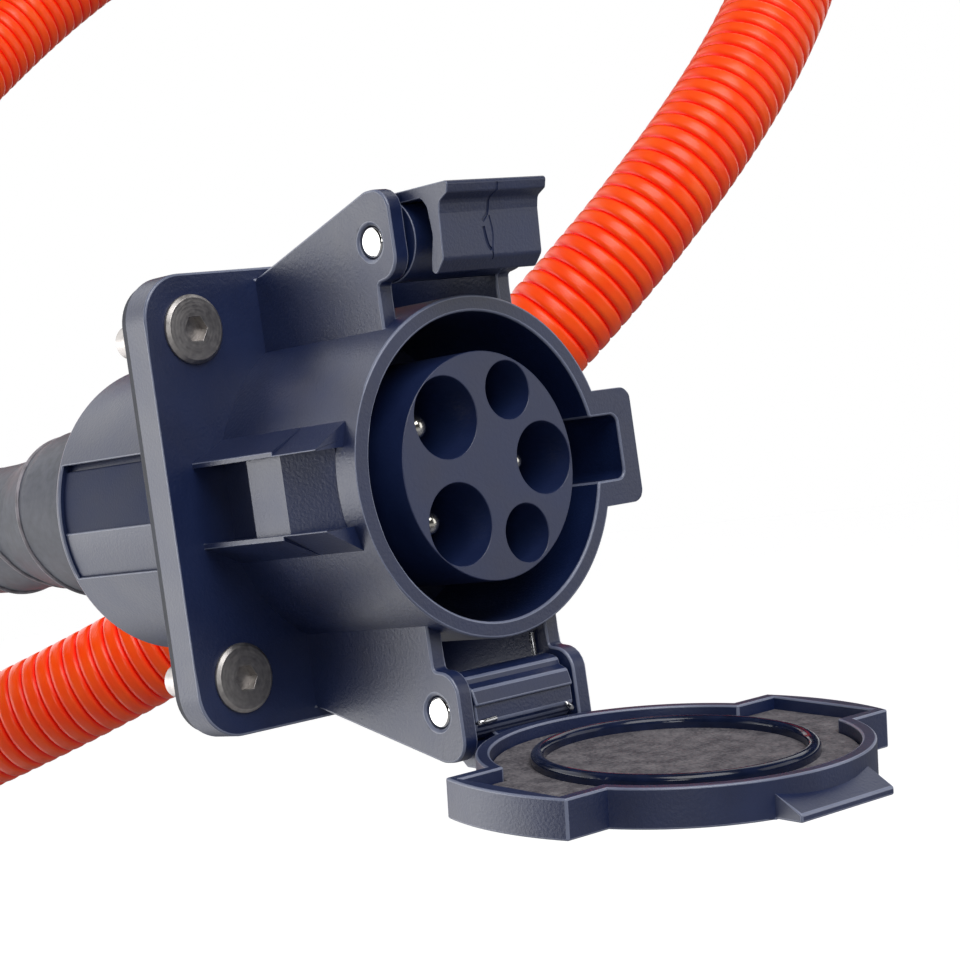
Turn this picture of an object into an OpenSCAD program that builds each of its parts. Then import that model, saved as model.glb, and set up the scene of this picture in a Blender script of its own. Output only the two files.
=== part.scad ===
// Charge port inlet: panel socket with a sprung cap, a cap latch and a cable in corrugated conduit.
// Origin: centre of the sealing face that lies on the panel. -Y is the mouth, +Z is up, +X is right
// seen from the mouth. The cap is drawn open, which is its rest.

/* [Flange] */
// Side of the square flange
flange_w = 67.5; // [64:0.5:90]
// Thickness of the flange plate
flange_t = 4.7; // [3:0.1:8]
// Corner radius of the flange
flange_r = 7; // [3:0.5:12]
// Thickness of the sealing pad behind the flange
pad_t = 1.8; // [1:0.1:4]
// How far the pad stays inside the flange's edge
pad_inset = 0.5; // [0:0.1:3]
// Distance between the fixing screws
screw_pitch = 51; // [49:0.5:56]

/* [Fixing screws] */
// Thread diameter
screw_d = 5; // [4:0.5:6]
// Length under the head
screw_l = 16; // [12:1:30]
// Head diameter
screw_head_d = 10.2; // [8:0.2:11]
// Head height
screw_head_h = 0.9; // [0.8:0.1:3]
// Hexagon socket across flats
screw_hex = 3.5; // [2:0.5:4]

/* [Barrel] */
// Length from the flange's face to the mouth
barrel_l = 30.7; // [26:0.1:45]
// Outside diameter
barrel_d = 49.3; // [48.5:0.1:52]
// Bore diameter for the plug's shell
bore_d = 44.5; // [43:0.1:45]
// Depth of the bore
bore_depth = 28; // [22:0.5:30]
// Width of the key tab on the rim
key_w = 17.4; // [13:0.2:19]
// How far the key tab reaches from the axis
key_out = 30.8; // [29:0.1:31.4]
// Length of the key tab
key_l = 24; // [10:1:30]
// Width of the keyway inside the tab
keyway_w = 9.6; // [7:0.2:11]
// Wall of the tab outside the keyway
key_wall = 3.4; // [2:0.1:4]

/* [Contacts] */
// Diameter of the contact carrier
core_d = 33; // [32:0.2:35]
// How far the carrier stands out of the mouth
core_proud = 0.4; // [0:0.1:2]
// Diameter of the two power wells
power_well_d = 11.8; // [10:0.1:12.4]
// Diameter of the earth well
earth_well_d = 10.6; // [9:0.1:11]
// Diameter of the two signal wells
signal_well_d = 8.5; // [6:0.1:9]
// Diameter of the power pins
power_pin_d = 3.6; // [3:0.1:5]
// Diameter of the earth pin
earth_pin_d = 2.8; // [2:0.1:5]
// Diameter of the signal pins
signal_pin_d = 1.5; // [1:0.1:2.5]
// How far the pin tips lie behind the carrier's face
pin_recess = 5.4; // [3:0.1:12]

/* [Hinges] */
// Distance of both hinge pins from the barrel's axis
hinge_out = 33.4; // [33:0.1:36]
// How far the hinge pins lie behind the mouth
hinge_back = 3.9; // [3.4:0.1:5]
// Gap between a pair of ears
ear_gap = 20.2; // [18:0.1:22]
// Thickness of an ear
ear_t = 2.7; // [2:0.1:3.4]
// Height of the ears' tips from the barrel's axis
ear_out = 40.6; // [39.6:0.1:44]
// Diameter of the hinge pins
hinge_pin_d = 4.6; // [3.5:0.1:5]
// Play of a moving hub beside each ear
hub_side_play = 0.5; // [0.3:0.1:1]

/* [Cap] */
// Angle of the open cap
cap_open = 97; // [60:1:110]
// Wall of the cap's rim
cap_wall = 1.95; // [1.4:0.05:2.4]
// Thickness of the cap's plate
cap_plate = 2.2; // [1.6:0.1:3]
// How far the rim reaches over the barrel
cap_lap = 1.1; // [0.6:0.1:2]
// Thickness of the cap's rubber pad
cap_pad_t = 1.4; // [1:0.1:2.4]
// Outer diameter of the sealing rib
rib_d = 39.2; // [37:0.2:41]
// Width of the sealing rib
rib_w = 1.8; // [1:0.1:2.4]
// Height of the sealing rib
rib_h = 1.7; // [0.8:0.1:3]
// Width of the tongue that the latch holds
tongue_w = 18.6; // [12:0.2:22]
// How far the tongue reaches past the rim
tongue_out = 2.6; // [2:0.1:3.2]

/* [Latch] */
// How far the lip stands in front of the mouth
lip_out = 10.2; // [9.4:0.1:12]
// Thickness of the lever's arm
arm_t = 1.6; // [1.2:0.1:2.2]
// Radius of the lever's hub
latch_hub_r = 6; // [5:0.1:6.2]

/* [Rear] */
// Diameter of the rear shell
rear_d = 46.4; // [45.4:0.1:47]
// Length of the rear shell behind the panel
rear_l = 39.2; // [34:0.1:60]
// Thickness of its end wall
rear_end_t = 2; // [1.5:0.1:3]
// Diameter of the boot at the rear shell
boot_d = 31; // [28:0.5:34]
// Length of the boot's cone
boot_cone = 41; // [30:1:50]

/* [Cable] */
// Outside diameter of the conduit
conduit_d = 21.2; // [18:0.1:21.4]
// Wall of the sleeve over the conduit's start
sleeve_wall = 0.6; // [0.4:0.1:1.5]
// Diameter of the power wires
power_wire_d = 5; // [4:0.2:5.4]
// Diameter of the signal wires
signal_wire_d = 2.4; // [1.5:0.1:2.6]

/* [Hidden] */
$fn = 64;

// Clearances
fit = 0.05;
hole_play = 0.25;
run_play = 0.06;
shell_gap = 0.4;

// Fixing screws: a slimmer shank in the flange, and the thread behind it
shank_less = 0.3;
thread_start = 0.3;

// Places along the axis, counted forward from the panel
flange_f = pad_t + flange_t;
mouth_f = flange_f + barrel_l;
floor_f = mouth_f - bore_depth;
hinge_f = mouth_f - hinge_back;
core_f = mouth_f + core_proud;
tip_f = core_f - pin_recess;

// Radii
barrel_r = barrel_d / 2;
bore_r = bore_d / 2;
core_r = core_d / 2;
rear_r = rear_d / 2;
conduit_r = conduit_d / 2;
pin_r = hinge_pin_d / 2;

// Wells, as right and up from the axis: each lies in its own direction, a thin wall inside the core's edge
function well(turn, d, wall) = (core_r - wall - d / 2) * [cos(turn), sin(turn)];
LINE_WELL = well(133, power_well_d, 0.2);
EARTH = well(0, earth_well_d, 0.4);
PILOT = well(62.3, signal_well_d, 0.5);
// The power pins stand a little nearer to each other than their wells
pin_shift = 0.7;
LINE = LINE_WELL - [0, pin_shift];
function below(at) = [at[0], -at[1]];
NEUTRAL = below(LINE);
PROXIMITY = below(PILOT);
WELLS = [[LINE_WELL, power_well_d], [below(LINE_WELL), power_well_d], [EARTH, earth_well_d],
    [PILOT, signal_well_d], [PROXIMITY, signal_well_d]];
PINS = [[LINE, power_pin_d], [NEUTRAL, power_pin_d], [EARTH, earth_pin_d], [PILOT, signal_pin_d],
    [PROXIMITY, signal_pin_d]];

// Contact carrier's foot and what holds it
web_t = 3.2;
foot_r = core_r + 3.3;
foot_t = 7;
foot_f = floor_f - web_t;
foot_back = foot_f - foot_t;
collar_t = 3;
retainer_t = 2.5;
retainer_back = foot_back - retainer_t;
crimp_l = 11;
crimp_back = retainer_back - crimp_l;
hold_r = core_r + 1.8;
hold_d = 2;
hold_head_d = 2.9;
hold_head_h = 1.2;
hold_bite = 2.4;
spigot_wall = 0.95;
spigot_r = foot_r + fit + spigot_wall;
spigot_back = -10;
shell_wall = 2.6;
rim_lip = 1.2;
rim_front = 3.2;
// Steps of its recess on the left: low and high edge, and depth
RECESS = [[-8.9, -1.6, 0.55], [-1.7, 7.9, 0.85], [7.9, 8.9, 1.5]];

// Ears: outer width and outline, as up, forward and corner radius
ear_w = ear_gap + 2 * ear_t;
neck_f = hinge_f + 0.3;
ear_front = hinge_f + 4.85;
ear_foot = flange_w / 2 - 1.7;
ear_side = [[barrel_r - 6, flange_f - 1, 0], [ear_foot, flange_f - 1, 0], [ear_foot, flange_f, 0],
    [ear_out, hinge_f, 3], [ear_out, ear_front, 3.2], [hinge_out - 5.2, ear_front, 3.4],
    [hinge_out - 5.9, neck_f, 0.8], [barrel_r - 6, neck_f, 0]];

// Plug catch on the left of the barrel
rail_out = 29;
rail_in = 5.5;
rail_lip = 0.7;
rail_tip = 0.15;
rail_foot = 3.75;
rail_root = bore_r + 0.3;
rail_end = mouth_f - 2.6;
bar_front = mouth_f - 12.2;
bar_back = mouth_f - 20;
bar_out = 27.6;
pocket_floor = barrel_r - 1.3;
ramp_l = 4.2;
ramp_end_r = barrel_r - 0.45;

// Cap, closed, counted forward from the panel
pad_clear = 0.3;
cap_back = mouth_f - cap_lap;
cap_pad_face = core_f + pad_clear;
cap_in = cap_pad_face + cap_pad_t;
cap_front = cap_in + cap_plate;
cap_in_r = barrel_r + shell_gap;
cap_r = cap_in_r + cap_wall;
lug_in = key_out + shell_gap;
lug_half_in = key_w / 2 + shell_gap;
lug_half = lug_half_in + cap_wall;
lug_r = norm([lug_in, lug_half_in]) + 1.3;
tongue_top = cap_r + tongue_out;
tongue_f = cap_front - 0.1;
cap_hub_r = 5;
hub_half = ear_gap / 2 - hub_side_play;
// Knuckle of the open cap, as up and forward of its pin: a groove and a step on its front, round behind
KNUCKLE = concat(
    [[4.2, 2.72], [3.3, 2.9], [2.55, 4.3], [0.3, 4.95], [0.1, 4.45], [-2.25, 4.45]] * cap_hub_r / 5,
    [for (k = [1 : 22]) let (a = -27 - k * 12) cap_hub_r * [sin(a), cos(a)]]);
knuckle_turn = 97;
cap_mid = 5.4;
coil_room = 1.6;
hub_pocket_r = pin_r + coil_room;
pad_gap = 0.15;

// Latch lever: outline as up, forward and corner radius
barb_f = tongue_f + shell_gap;
lever_top = hinge_out + latch_hub_r + 0.4;
lip_f = mouth_f + lip_out;
plate_f = barb_f + 2.6;
barb_low = cap_r + 0.2;
lever_side = [[lever_top, hinge_f, 1], [lever_top, lip_f, 0.5], [lever_top - 1.7, lip_f - 0.5, 0.5],
    [lever_top - 2.6, plate_f + 0.8, 1], [lever_top - 4.2, plate_f + 0.4, 1], [barb_low + 2, plate_f, 1.2],
    [barb_low, plate_f - 1.9, 0.6], [barb_low + 0.7, barb_f, 0.3], [barb_low + 2.2, barb_f + 0.2, 1],
    [barb_low + 5.6, plate_f - 1.5, 3], [lever_top - 3, plate_f - 1.9, 1.4],
    [lever_top - arm_t, plate_f - 2.9, 1], [lever_top - arm_t, hinge_f + 2, 0.4],
    [hinge_out + 2, hinge_f, 0]];
lever_mid = 6;

// Springs
wire_d = 0.9;
coil_r = pin_r + 0.75;

// Cable: sleeve's end, and the conduit's route past it
sleeve_end = 100;
sleeve_r = conduit_r + sleeve_wall;
route_in = 80;
ROUTE = [[0, route_in, 0], [0, sleeve_end, 0], [1, 126, 1], [9, 169, 11], [26, 206, 32], [49, 234, 59],
    [79, 253, 88], [114, 259, 115], [150, 255, 141], [188, 236, 162], [218, 204, 174], [236, 162, 176],
    [239, 118, 164], [227, 80, 143], [204, 53, 115], [173, 43, 82], [140, 46, 51], [109, 61, 21],
    [81, 85, -5], [55, 117, -26], [31, 153, -41], [12, 193, -53], [-4, 235, -60]];
END = ROUTE[len(ROUTE) - 1];
END_DIR = END - ROUTE[len(ROUTE) - 2];
end_sleeve_l = 34;
end_sleeve_over = 16;
end_plug_t = 3;
tail_l = 55;
strand_l = 8;
tail_ring = 4.6;

// Ring k of a swept tube: its points lie square to the way through its neighbours
function unit(v) = v / norm(v);
function way(p, k) = unit(p[min(k + 1, len(p) - 1)] - p[max(k - 1, 0)]);
function side(d) = unit(cross(abs(d[2]) > 0.9 ? [1, 0, 0] : [0, 0, 1], d));
function ring_pts(p, k, r, n) = let (d = way(p, k), s = side(d), u = cross(d, s))
    [for (i = [0 : n - 1]) p[k] + r * (cos(360 * i / n) * s + sin(360 * i / n) * u)];

// Corner k of an outline of [a, b, radius] points, as an arc
function corner(p, k, n) = let (c = [p[k][0], p[k][1]], r = p[k][2], m = len(p),
    a = unit([p[(k + m - 1) % m][0], p[(k + m - 1) % m][1]] - c),
    b = unit([p[(k + 1) % m][0], p[(k + 1) % m][1]] - c),
    h = acos(max(-1, min(1, a * b))) / 2, o = c + unit(a + b) * r / sin(h), t = a * r / tan(h) + c,
    e = b * r / tan(h) + c, s0 = t - o, s1 = e - o)
    r == 0 ? [c] : [for (i = [0 : n]) let (w = i / n, v = unit((1 - w) * s0 + w * s1)) o + r * v];
function rounded(p, n = 6) = [for (k = [0 : len(p) - 1]) each corner(p, k, n)];

// A tube along p
module sweep(p, r, n) {
    m = len(p);
    pts = [for (k = [0 : m - 1]) each ring_pts(p, k, r, n)];
    walls = [for (k = [0 : m - 2], i = [0 : n - 1]) let (a = k * n + i, b = k * n + (i + 1) % n)
        each [[a, a + n, b], [b, a + n, b + n]]];
    ends = [[for (i = [0 : n - 1]) i], [for (i = [n - 1 : -1 : 0]) (m - 1) * n + i]];
    polyhedron(points = pts, faces = concat(walls, ends), convexity = 8);
}

// Turns a piece drawn as right, up, forward into the part's frame
module facing() {
    rotate([90, 0, 0]) children();
}

// Extrudes an outline of up, forward along X, centred
module across(w) {
    translate([-w / 2, 0, 0]) rotate([90, 0, 90]) linear_extrude(w) children();
}

// Cylinder along X at a hinge
module axle(r, w, up) {
    translate([-w / 2, up, hinge_f]) rotate([0, 90, 0]) cylinder(r = r, h = w);
}

// Straight cylinder forward from f0 to f1
module rod(r, f0, f1, at = [0, 0]) {
    translate([at[0], at[1], f0]) cylinder(r = r, h = f1 - f0);
}

module rounded_square(w, r) {
    square([w - 2 * r, w], center = true);
    square([w, w - 2 * r], center = true);
    for (x = [-1, 1], y = [-1, 1]) translate([x, y] * (w / 2 - r)) circle(r);
}

module at_screws() {
    for (x = [-1, 1], y = [-1, 1]) translate([x, y, 0] * screw_pitch / 2) children();
}

module at_holds() {
    for (a = [90, 210, 330]) rotate(a) translate([hold_r, 0, 0]) children();
}

// One pair of ears; up is 1 at the latch and -1 at the cap's hinge
module ears(up) {
    mirror([0, up < 0 ? 1 : 0, 0]) for (s = [-1, 1]) translate([s * (ear_gap + ear_t) / 2, 0, 0])
        across(ear_t) polygon(rounded(ear_side));
}

module key_tab() {
    x0 = barrel_r - 3;
    r = 2;
    translate([0, 0, mouth_f - key_l]) linear_extrude(key_l) {
        translate([x0, -key_w / 2]) square([key_out - x0 - r, key_w]);
        translate([x0, -key_w / 2 + r]) square([key_out - x0, key_w - 2 * r]);
        for (s = [-1, 1]) translate([key_out - r, s * (key_w / 2 - r)]) circle(r);
    }
}

module catch_block() {
    for (s = [0, 1]) mirror([0, s, 0]) {
        rail(rail_lip, flange_f - 1, bar_front);
        rail(rail_tip, bar_front - 0.5, rail_end);
    }
    catch_prism(rail_in + 0.5, [
        [-bar_out, bar_back], [-bar_out, bar_front], [-ramp_end_r, mouth_f - ramp_l],
        [-rail_root, mouth_f - ramp_l], [-rail_root, bar_back]]);
}

// One rail: a narrow flat outside, then a slope down to the barrel
module rail(lip, from, to) {
    translate([0, 0, from]) linear_extrude(to - from) polygon([
        [-rail_out, rail_in], [-rail_out, rail_in + lip],
        [-rail_root, rail_in + rail_foot], [-rail_root, rail_in]]);
}

// Solid of a section in right and forward, between the rails
module catch_prism(half, section) {
    translate([0, half, 0]) rotate([90, 0, 0]) linear_extrude(2 * half) polygon(section);
}

module catch_pockets() {
    translate([-rail_out - 1, -rail_in, flange_f])
        cube([rail_out + 1 - pocket_floor, 2 * rail_in, bar_back - flange_f]);
    catch_prism(rail_in, [
        [-rail_out - 1, bar_front], [-bar_out, bar_front], [-ramp_end_r, mouth_f - ramp_l],
        [-rail_out - 1, mouth_f - ramp_l]]);
}

module keyway() {
    out = key_out - key_wall;
    r = 1.4;
    translate([0, 0, mouth_f - key_l + 2]) linear_extrude(key_l) {
        translate([bore_r - 4, -keyway_w / 2]) square([out - bore_r + 4 - r, keyway_w]);
        translate([bore_r - 4, -keyway_w / 2 + r]) square([out - bore_r + 4, keyway_w - 2 * r]);
        for (s = [-1, 1]) translate([out - r, s * (keyway_w / 2 - r)]) circle(r);
    }
}

module housing() {
    color("#23262e") facing() difference() {
        union() {
            translate([0, 0, pad_t]) linear_extrude(flange_t) rounded_square(flange_w, flange_r);
            rod(barrel_r, pad_t + 1, mouth_f);
            rod(spigot_r, spigot_back, pad_t + 1);
            key_tab();
            ears(1);
            ears(-1);
            catch_block();
        }
        catch_pockets();
        rod(bore_r, floor_f, mouth_f + 1);
        keyway();
        rod(core_r + fit, foot_f - 1, floor_f + 1);
        rod(foot_r + fit, spigot_back - 1, foot_f);
        at_screws() rod(screw_d / 2 + hole_play, 0, flange_f + 1);
        at_holds() rod(hold_d / 2, foot_f - 1, foot_f + hold_bite);
        for (up = [-1, 1]) {
            axle(pin_r + fit, ear_w + 2, up * hinge_out);
            for (s = [-1, 1]) translate([s * (ear_w / 2 - 0.5), up * hinge_out, hinge_f])
                rotate([0, s * 90, 0]) cylinder(r1 = pin_r + fit, r2 = pin_r + 0.4, h = 0.6);
        }
    }
}

module flange_pad() {
    color("#15171b") facing() linear_extrude(pad_t) difference() {
        rounded_square(flange_w - 2 * pad_inset, flange_r - pad_inset);
        circle(rear_r + shell_gap);
        for (x = [-1, 1], y = [-1, 1]) translate([x, y] * screw_pitch / 2) circle(screw_d / 2 + hole_play);
    }
}

module flange_screws() {
    color("#9a9894") facing() at_screws() difference() {
        union() {
            rod(screw_d / 2, flange_f - screw_l, -thread_start);
            rod(screw_d / 2 - shank_less, -thread_start - 0.5, flange_f + 0.5);
            rod(screw_head_d / 2, flange_f, flange_f + screw_head_h - 0.5);
            translate([0, 0, flange_f + screw_head_h - 0.5])
                cylinder(r1 = screw_head_d / 2, r2 = screw_head_d / 2 - 0.5, h = 0.5);
        }
        translate([0, 0, flange_f - 0.6]) cylinder(r = screw_hex / sqrt(3), h = screw_head_h + 1, $fn = 6);
    }
}

// Round core with the wells, welded to the carrier behind it
module contact_core() {
    color("#1d2027") facing() difference() {
        rod(core_r, floor_f, core_f);
        for (w = WELLS) rod(w[1] / 2, floor_f - 1, core_f + 1, w[0]);
    }
}

module contact_carrier() {
    color("#1d2027") facing() difference() {
        union() {
            rod(core_r, foot_f - 1, floor_f);
            rod(foot_r, foot_back, foot_f);
        }
        for (p = PINS) {
            rod(p[1] / 2 + fit, foot_back - 1, floor_f + 1, p[0]);
            rod(collar_r(p[1]) + fit, foot_back - 1, foot_back + collar_t, p[0]);
        }
        at_holds() rod(hold_d / 2 + fit, foot_back - 1, foot_f + 1);
    }
}

function collar_r(d) = d / 2 + 1.2;
function crimp_r(d) = d / 2 + 0.9;

module contact_retainer() {
    color("#3a3d44") facing() difference() {
        rod(foot_r, retainer_back, foot_back);
        for (p = PINS) rod(crimp_r(p[1]) + fit, retainer_back - 1, foot_back + 1, p[0]);
        at_holds() rod(hold_d / 2 + fit, retainer_back - 1, foot_back + 1);
    }
}

module retainer_screws() {
    color("#8d8b86") facing() at_holds() difference() {
        union() {
            rod(hold_d / 2 - fit, retainer_back - 0.5, foot_f + hold_bite - 0.2);
            rod(hold_head_d / 2, retainer_back - hold_head_h, retainer_back);
        }
        translate([-hold_head_d, -0.3, retainer_back - hold_head_h - 1]) cube([2 * hold_head_d, 0.6, 1.5]);
    }
}

// One contact: round-nosed pin, collar in the foot and crimp barrel behind
module contact(at, d) {
    r = d / 2;
    facing() translate([at[0], at[1], 0]) difference() {
        rotate_extrude() difference() {
            union() {
                translate([0, crimp_back]) square([crimp_r(d), foot_back - crimp_back]);
                translate([0, foot_back]) square([collar_r(d), collar_t]);
                translate([0, foot_back]) square([r, tip_f - r - foot_back]);
                translate([0, tip_f - r]) intersection() {
                    circle(r);
                    square([r, r]);
                }
            }
            translate([-1, crimp_back - 1]) square([1, 100]);
        }
        rod(crimp_r(d) - 0.6, crimp_back - 1, crimp_back + crimp_l - 4);
    }
}

module line_pin() {
    color("#d8d4c8") contact(LINE, power_pin_d);
}

module neutral_pin() {
    color("#d8d4c8") contact(NEUTRAL, power_pin_d);
}

module earth_pin() {
    color("#d8d4c8") contact(EARTH, earth_pin_d);
}

module pilot_pin() {
    color("#d8d4c8") contact(PILOT, signal_pin_d);
}

module proximity_pin() {
    color("#d8d4c8") contact(PROXIMITY, signal_pin_d);
}

// Cup over the spigot, with a stepped recess on the left
module rear_shell() {
    end_r = boot_d / 2;
    color("#2a2c33") facing() difference() {
        rod(rear_r, -rear_l, pad_t);
        rod(spigot_r + fit, spigot_back, pad_t + 1);
        rod(rear_r - shell_wall, -rear_l + rear_end_t, spigot_back + 1);
        rod(end_r + fit, -rear_l - 1, 0);
        for (b = RECESS) intersection() {
            translate([-rear_r - 1, b[0], rim_lip - rear_l])
                cube([rear_r, b[1] - b[0], rear_l - rim_lip - rim_front]);
            difference() {
                rod(rear_r + 2, -rear_l, 0);
                rod(rear_r - b[2], -rear_l - 1, 1);
            }
        }
    }
}

// Wires from the crimps to the mouth of the conduit
module inner_wires() {
    runs = [[LINE, power_wire_d, crimp_r(power_pin_d)], [NEUTRAL, power_wire_d, crimp_r(power_pin_d)],
        [EARTH, power_wire_d, crimp_r(earth_pin_d)], [PILOT, signal_wire_d, crimp_r(signal_pin_d)],
        [PROXIMITY, signal_wire_d, crimp_r(signal_pin_d)]];
    ends = [[-2.8, 3], [-2.8, -3], [3.4, 0], [2.3, 4.4], [2.3, -4.4]];
    b0 = -crimp_back;
    b1 = route_in - 1;
    color("#e0581a") for (k = [0 : 4]) let (p = runs[k][0], e = ends[k], q = p + (e - p) * 0.5)
        sweep([[p[0], b0 + 0.05, p[1]], [p[0], b0 + 3, p[1]], [q[0], (b0 + b1) / 2 - 8, q[1]],
            [e[0], b1 - 22, e[1]], [e[0], b1, e[1]]], runs[k][1] / 2 - 0.1, 10);
}

// Boot: collar inside the rear shell, cone outside, sleeve over the conduit
module cable_boot() {
    r0 = boot_d / 2;
    b = rear_l;
    in_r = conduit_r + 0.1;
    collar_b = b - rear_end_t;
    out = [[in_r, collar_b - 1.6], [r0 + 2, collar_b - 1.6], [r0 + 2, collar_b], [r0, collar_b], [r0, b],
        [r0 + 0.4, b], [r0 - 0.2, b + 4], [r0 - 1.4, b + boot_cone * 0.58], [r0 - 2, b + boot_cone * 0.65],
        [(r0 + sleeve_r - 1.6) / 2, b + boot_cone * 0.75], [sleeve_r + 0.4, b + boot_cone * 0.83],
        [sleeve_r, b + boot_cone * 0.9], [sleeve_r, sleeve_end], [in_r, sleeve_end]];
    color("#34343a") rotate([-90, 0, 0]) rotate_extrude() polygon(out);
}

module conduit() {
    color("#ff4a12") sweep(ROUTE, conduit_r, 12);
}

// Puts a piece drawn along +Z on the conduit's end
module at_end() {
    d = unit(END_DIR);
    translate(END) rotate([0, acos(d[2]), atan2(d[1], d[0])]) children();
}

module end_sleeve() {
    color("#2a2a2e") at_end() difference() {
        translate([0, 0, -end_sleeve_over]) cylinder(r = conduit_r + sleeve_wall + 0.6, h = end_sleeve_l);
        translate([0, 0, -end_sleeve_over - 1]) cylinder(r = conduit_r + 0.5, h = end_sleeve_over + 1);
        cylinder(r = conduit_r - 1, h = end_sleeve_l - end_sleeve_over - end_plug_t);
        for (a = [0 : 2]) rotate(120 * a) translate([tail_ring, 0, 0])
            cylinder(r = power_wire_d / 2 + fit, h = end_sleeve_l);
        for (a = [0 : 1]) rotate(180 + 120 * a) translate([tail_ring + 1, 0, 0])
            cylinder(r = signal_wire_d / 2 + fit, h = end_sleeve_l);
    }
}

module tail(r, at, a) {
    at_end() rotate(a) translate([at, 0, 0.1]) cylinder(r = r, h = end_sleeve_l - end_sleeve_over + tail_l);
}

module power_wires() {
    color("#e0581a") for (a = [0 : 2]) tail(power_wire_d / 2, tail_ring, 120 * a);
}

module signal_wires() {
    color("#3c6fb0") for (a = [0 : 1]) tail(signal_wire_d / 2, tail_ring + 1, 180 + 120 * a);
}

module wire_ends() {
    z = 0.1 + end_sleeve_l - end_sleeve_over + tail_l;
    color("#c07a45") at_end() translate([0, 0, z]) {
        for (a = [0 : 2]) rotate(120 * a) translate([tail_ring, 0, 0])
            cylinder(r = power_wire_d / 2 - 0.9, h = strand_l);
        for (a = [0 : 1]) rotate(180 + 120 * a) translate([tail_ring + 1, 0, 0])
            cylinder(r = signal_wire_d / 2 - 0.5, h = strand_l);
    }
}

module hinge_pin() {
    color("#c9ccd2") facing() axle(pin_r, ear_w - 0.4, -hinge_out);
}

module latch_pin() {
    color("#c9ccd2") facing() axle(pin_r, ear_w - 0.4, hinge_out);
}

// Turns a piece of the closed cap open about its hinge
module opened() {
    facing() translate([0, -hinge_out, hinge_f]) rotate([cap_open, 0, 0])
        translate([0, hinge_out, -hinge_f]) children();
}

// Outline of the cap: round with two lugs; the inner one leaves the wall
module cap_outline(round_r, lug_x, lug_y) {
    circle(round_r, $fn = 96);
    intersection() {
        circle(lug_x, $fn = 96);
        square([2 * lug_x, 2 * lug_y], center = true);
    }
}

module cap_inside() {
    circle(cap_in_r, $fn = 96);
    square([2 * lug_in, 2 * lug_half_in], center = true);
}

module cap_shell() {
    root = -cap_in_r - 0.2;
    arm = [[-cap_in_r + 2, cap_in], [-cap_in_r + 2, cap_front], [-hinge_out + 2, cap_front],
        [-hinge_out - 3.6, hinge_f + 3.4], [-hinge_out, hinge_f], [-hinge_out + 3.4, hinge_f + 3.6],
        [root, cap_in]];
    tongue = [[cap_r - 3.2, cap_in], [cap_in_r + 0.15, cap_in], [cap_in_r + 0.3, cap_in - 1.2],
        [tongue_top, tongue_f - 1.1], [tongue_top, tongue_f], [cap_r - 3.2, tongue_f]];
    color("#24272f") opened() difference() {
        union() {
            difference() {
                translate([0, 0, cap_back]) linear_extrude(cap_front - cap_back)
                    cap_outline(cap_r, lug_r, lug_half);
                translate([0, 0, cap_back - 1]) linear_extrude(cap_in - cap_back + 1) cap_inside();
            }
            across(tongue_w) polygon(tongue);
            across(2 * cap_mid) polygon(arm);
            for (s = [-1, 1]) translate([s * (hub_half + cap_mid) / 2, 0, 0]) across(hub_half - cap_mid)
                polygon([[-cap_in_r + 2, cap_in], [-cap_in_r + 2, cap_front], [-hinge_out + 2, cap_front],
                    [-hinge_out - 3, hinge_f + 4], [-hinge_out + 1.6, hinge_f + 4.7], [root, cap_in]]);
            translate([0, -hinge_out, hinge_f]) rotate([-knuckle_turn, 0, 0])
                across(2 * hub_half) polygon(KNUCKLE);
        }
        axle(pin_r + run_play, 2 * hub_half + 2, -hinge_out);
        for (s = [-1, 1]) translate([s * (hub_half + cap_mid + 1) / 2, 0, 0])
            axle(hub_pocket_r, hub_half - cap_mid + 1, -hinge_out);
    }
}

module cap_pad() {
    color("#5a5557") opened() {
        translate([0, 0, cap_pad_face]) linear_extrude(cap_pad_t) {
            circle(cap_in_r - pad_gap, $fn = 96);
            square([2 * (lug_in - pad_gap), 2 * (lug_half_in - pad_gap)], center = true);
        }
        translate([0, 0, cap_pad_face - rib_h]) rotate_extrude($fn = 96) translate([rib_d / 2 - rib_w, 0]) {
            translate([rib_w / 2, rib_w / 2]) circle(rib_w / 2, $fn = 24);
            translate([0, rib_w / 2]) square([rib_w, rib_h - rib_w / 2 + 0.2]);
        }
    }
}

// Coil along X with its first end at x0
module coil(x0, turns, pitch, a0) {
    n = 14;
    sweep([for (i = [0 : n * turns]) let (a = a0 + 360 * i / n)
        [x0 + pitch * i / n, coil_r * cos(a), coil_r * sin(a)]], wire_d / 2, 6);
}

// Two coils in the cap's hub, seated around the hinge pin
module hinge_spring() {
    turns = 3;
    pitch = 1.05;
    color("#b9bcc2") facing() translate([0, -hinge_out, hinge_f])
        for (s = [0, 1]) mirror([s, 0, 0]) coil(cap_mid + 0.2 + wire_d / 2, turns, pitch, 40);
}

module latch_lever() {
    color("#2b2e36") facing() difference() {
        union() {
            across(2 * hub_half) polygon(rounded(lever_side));
            axle(latch_hub_r, 2 * hub_half, hinge_out);
        }
        axle(pin_r + run_play, 2 * hub_half + 2, hinge_out);
        axle(hub_pocket_r, 2 * lever_mid, hinge_out);
        translate([-lever_mid, hinge_out - latch_hub_r - 1, hinge_f - latch_hub_r - 1])
            cube([2 * lever_mid, latch_hub_r + 1, latch_hub_r + 1]);
    }
}

// Coil in the middle of the lever's hub
module latch_spring() {
    turns = 8;
    pitch = 1.1;
    color("#b9bcc2") facing() translate([0, hinge_out, hinge_f]) coil(-turns * pitch / 2, turns, pitch, 0);
}

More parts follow.
